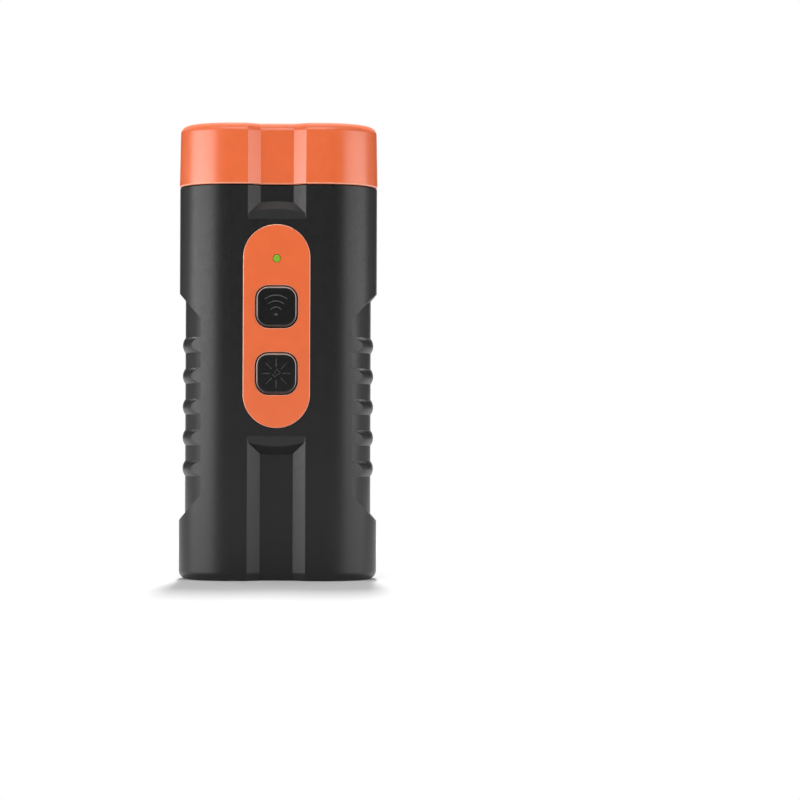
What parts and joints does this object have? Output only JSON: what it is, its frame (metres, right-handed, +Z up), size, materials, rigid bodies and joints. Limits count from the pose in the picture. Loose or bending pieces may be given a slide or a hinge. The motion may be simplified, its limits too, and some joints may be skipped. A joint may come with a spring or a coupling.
{
  "type": "handheld ultrasonic deterrent torch",
  "caption": "Two-barrel handheld case with an orange head cap, two sprung keys in an orange panel, ribbed grip sides, twin ultrasonic emitters and a torch lamp in the head.",
  "frame": {"origin": "middle of the foot that the device stands on", "axes": "+Z runs up to the head, -Y is the front face with the keys, +X is to the right when the front is seen"},
  "size_m": [0.0482, 0.027, 0.11],
  "materials": {
    "case_plastic": "satin moulded, fine texture",
    "orange_plastic": "satin moulded",
    "key_plastic": "satin moulded, raised sign",
    "green_lens": "clear tinted, glossy",
    "clear_lens": "water-clear, glossy",
    "plated_steel": "nickel plated",
    "tin_plate": "tin plated",
    "board_green": "solder mask over glass fibre board",
    "black_moulding": "matt moulding compound",
    "ferrite": "pressed ferrite",
    "copper": "enamelled copper wire",
    "ceramic_tan": "ceramic chips",
    "can_metal": "drawn, satin",
    "grille_metal": "etched and painted black",
    "disc_brass": "rolled",
    "cell_wrap": "shrink sleeve",
    "foam": "closed-cell foam"
  },
  "bodies": {
    "case": {"front_shell": "case_plastic", "rear_shell": "case_plastic", "head_cap": "orange_plastic", "control_panel": "orange_plastic", "indicator_lens": "green_lens", "torch_led": "clear_lens", "indicator_led": "clear_lens", "shell_screws": "plated_steel", "board_screws": "plated_steel", "socket_shell": "plated_steel", "emitter_switch_cover": "plated_steel", "torch_switch_cover": "plated_steel", "header_pins": "tin_plate", "chip_pins": "tin_plate", "torch_led_legs": "tin_plate", "emitter_switch_terminals": "tin_plate", "torch_switch_terminals": "tin_plate", "top_strip": "tin_plate", "bottom_strip": "tin_plate", "main_board": "board_green", "head_board": "board_green", "head_header": "black_moulding", "driver_chip": "black_moulding", "charger_chip": "black_moulding", "socket_tongue": "black_moulding", "emitter_switch_base": "black_moulding", "torch_switch_base": "black_moulding", "emitter_base_left": "black_moulding", "emitter_base_right": "black_moulding", "coil_core": "ferrite", "coil_winding": "copper", "small_parts": "ceramic_tan", "capacitor": "can_metal", "emitter_can_left": "can_metal", "emitter_can_right": "can_metal", "emitter_horn_left": "can_metal", "emitter_horn_right": "can_metal", "emitter_grille_left": "grille_metal", "emitter_grille_right": "grille_metal", "emitter_disc_left": "disc_brass", "emitter_disc_right": "disc_brass", "cell_left": "cell_wrap", "cell_right": "cell_wrap", "emitter_foam_left": "foam", "emitter_foam_right": "foam"},
    "emitter_key": {"emitter_key": "key_plastic"},
    "torch_key": {"torch_key": "key_plastic"},
    "emitter_plunger": {"emitter_switch_plunger": "black_moulding"},
    "torch_plunger": {"torch_switch_plunger": "black_moulding"}
  },
  "joints": [
    {"name": "emitter_key_press", "type": "slide", "parent": "case", "child": "emitter_key", "axis": [0, 1, 0], "range_m": [0, 0.0005], "stiffness_N_per_m": 1500},
    {"name": "emitter_plunger_press", "type": "slide", "parent": "case", "child": "emitter_plunger", "axis": [0, 1, 0], "range_m": [0, 0.0005]},
    {"name": "torch_key_press", "type": "slide", "parent": "case", "child": "torch_key", "axis": [0, 1, 0], "range_m": [0, 0.0005], "stiffness_N_per_m": 1500},
    {"name": "torch_plunger_press", "type": "slide", "parent": "case", "child": "torch_plunger", "axis": [0, 1, 0], "range_m": [0, 0.0005]}
  ],
  "couplings": [
    {"joint": "emitter_plunger_press", "follows": "emitter_key_press", "ratio": 1},
    {"joint": "torch_plunger_press", "follows": "torch_key_press", "ratio": 1}
  ]
}
